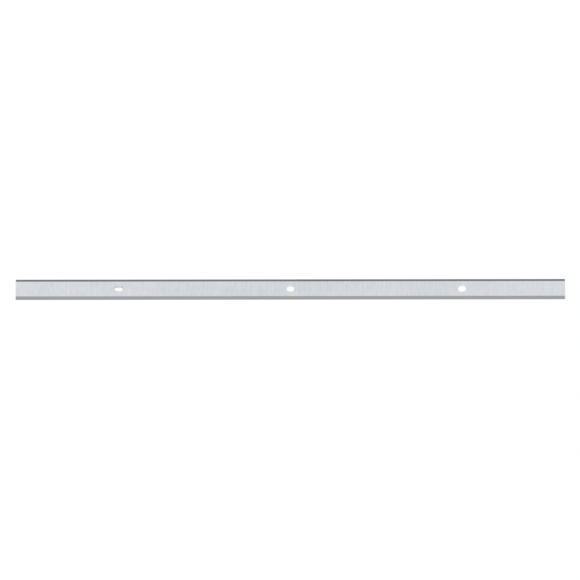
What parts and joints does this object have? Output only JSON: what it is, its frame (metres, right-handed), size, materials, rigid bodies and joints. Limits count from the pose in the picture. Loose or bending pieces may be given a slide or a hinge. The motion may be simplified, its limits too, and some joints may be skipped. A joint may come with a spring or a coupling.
{
  "type": "planer knife",
  "caption": "Thin straight strip of ground steel with a bevelled cutting edge along each long side and short locating slots on its centre line, for a thickness planer.",
  "frame": {"origin": "centre of the flat back, on the face that lies on the knife's seat", "axes": "+X along the knife towards the widest slot and away from the narrowest, +Y across it, +Z through its thickness from the flat back to the narrower front face"},
  "size_m": [0.32, 0.0124, 0.0015],
  "materials": {
    "ground_steel": "ground across the strip on the flat faces, ground along the edge on the bevels"
  },
  "bodies": {
    "root": {"planer_knife": "ground_steel"}
  },
  "joints": []
}
